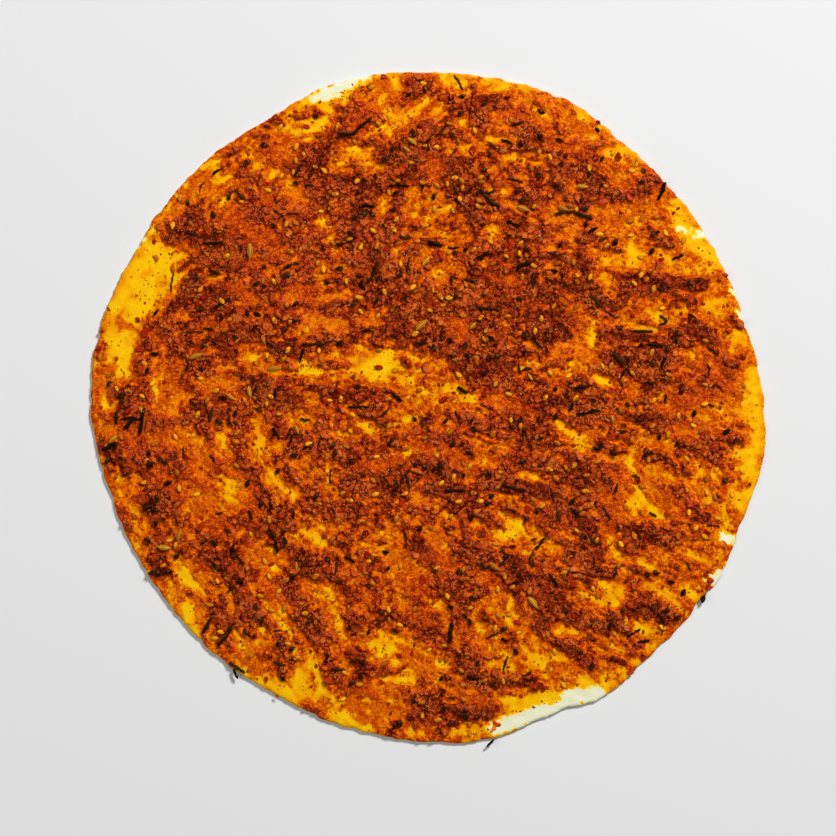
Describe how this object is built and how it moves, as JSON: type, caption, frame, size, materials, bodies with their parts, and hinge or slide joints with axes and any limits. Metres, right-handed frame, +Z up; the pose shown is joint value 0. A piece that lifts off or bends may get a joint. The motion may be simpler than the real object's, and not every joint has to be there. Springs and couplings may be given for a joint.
{
  "type": "pepper flatbread",
  "caption": "Thin round of soft flatbread dough with an uneven rim, spread almost to its edge with a coarse, oily red pepper and seed paste.",
  "frame": {"origin": "centre of the bread's outline, on the underside", "axes": "+Z up out of the bread, through the spread; +X and +Y lie in its plane: a long bare band of dough follows the rim on the -X side, and the widest dry lip of dough is at the rim towards +X and -Y"},
  "size_m": [0.2772, 0.2756, 0.0054],
  "materials": {
    "oiled_dough": "soft pale dough stained yellow to orange by pepper oil, slightly glossy where oiled",
    "pepper_spread": "coarse brick-red pepper paste with seeds and herbs, moist, glinting on its grains"
  },
  "bodies": {
    "root": {"dough": "oiled_dough", "pepper_spread": "pepper_spread"}
  },
  "joints": []
}
